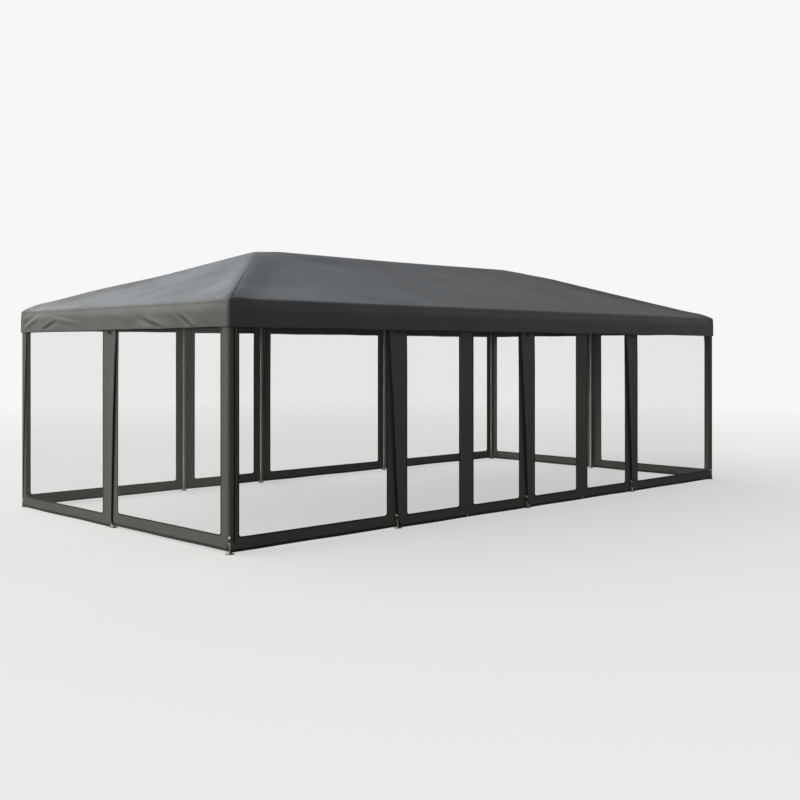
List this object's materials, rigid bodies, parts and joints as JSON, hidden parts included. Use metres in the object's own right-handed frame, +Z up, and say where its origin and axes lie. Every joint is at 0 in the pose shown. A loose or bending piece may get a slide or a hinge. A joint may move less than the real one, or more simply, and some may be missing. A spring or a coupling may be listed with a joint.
{
  "type": "party gazebo",
  "caption": "Rectangular party gazebo with a plug-together steel tube frame, a hip roof cover with a straight valance and netted cloth side walls.",
  "frame": {"origin": "on the ground under the middle of the plan", "axes": "+X along the long sides towards the right end, +Y from the front long side to the back one, +Z up"},
  "size_m": [8.084, 4.084, 2.8844],
  "materials": {
    "canopy_cloth": "matt coated polyester, anthracite",
    "wall_cloth": "matt woven polyethylene, anthracite",
    "wall_net": "fine dark mosquito net, see-through",
    "galvanised_tube": "light grey galvanised steel tube"
  },
  "bodies": {
    "root": {"eave_rail_back": "galvanised_tube", "eave_rail_front": "galvanised_tube", "eave_rail_left": "galvanised_tube", "eave_rail_right": "galvanised_tube", "hip_back_left": "galvanised_tube", "hip_back_right": "galvanised_tube", "hip_front_left": "galvanised_tube", "hip_front_right": "galvanised_tube", "post_back_1": "galvanised_tube", "post_back_2": "galvanised_tube", "post_back_3": "galvanised_tube", "post_back_left": "galvanised_tube", "post_back_right": "galvanised_tube", "post_front_1": "galvanised_tube", "post_front_2": "galvanised_tube", "post_front_3": "galvanised_tube", "post_front_left": "galvanised_tube", "post_front_right": "galvanised_tube", "post_left_middle": "galvanised_tube", "post_right_middle": "galvanised_tube", "rafter_back_1": "galvanised_tube", "rafter_back_2": "galvanised_tube", "rafter_back_3": "galvanised_tube", "rafter_front_1": "galvanised_tube", "rafter_front_2": "galvanised_tube", "rafter_front_3": "galvanised_tube", "rafter_left": "galvanised_tube", "rafter_right": "galvanised_tube", "ridge": "galvanised_tube", "roof_back": "canopy_cloth", "roof_front": "canopy_cloth", "roof_left": "canopy_cloth", "roof_right": "canopy_cloth", "valance_back": "canopy_cloth", "valance_front": "canopy_cloth", "valance_left": "canopy_cloth", "valance_right": "canopy_cloth", "wall_back_1": "wall_cloth", "wall_back_2": "wall_cloth", "wall_back_3": "wall_cloth", "wall_back_4": "wall_cloth", "wall_front_1": "wall_cloth", "wall_front_2": "wall_cloth", "wall_front_3": "wall_cloth", "wall_front_4": "wall_cloth", "wall_left_1": "wall_cloth", "wall_left_2": "wall_cloth", "wall_right_1": "wall_cloth", "wall_right_2": "wall_cloth"}
  },
  "joints": []
}
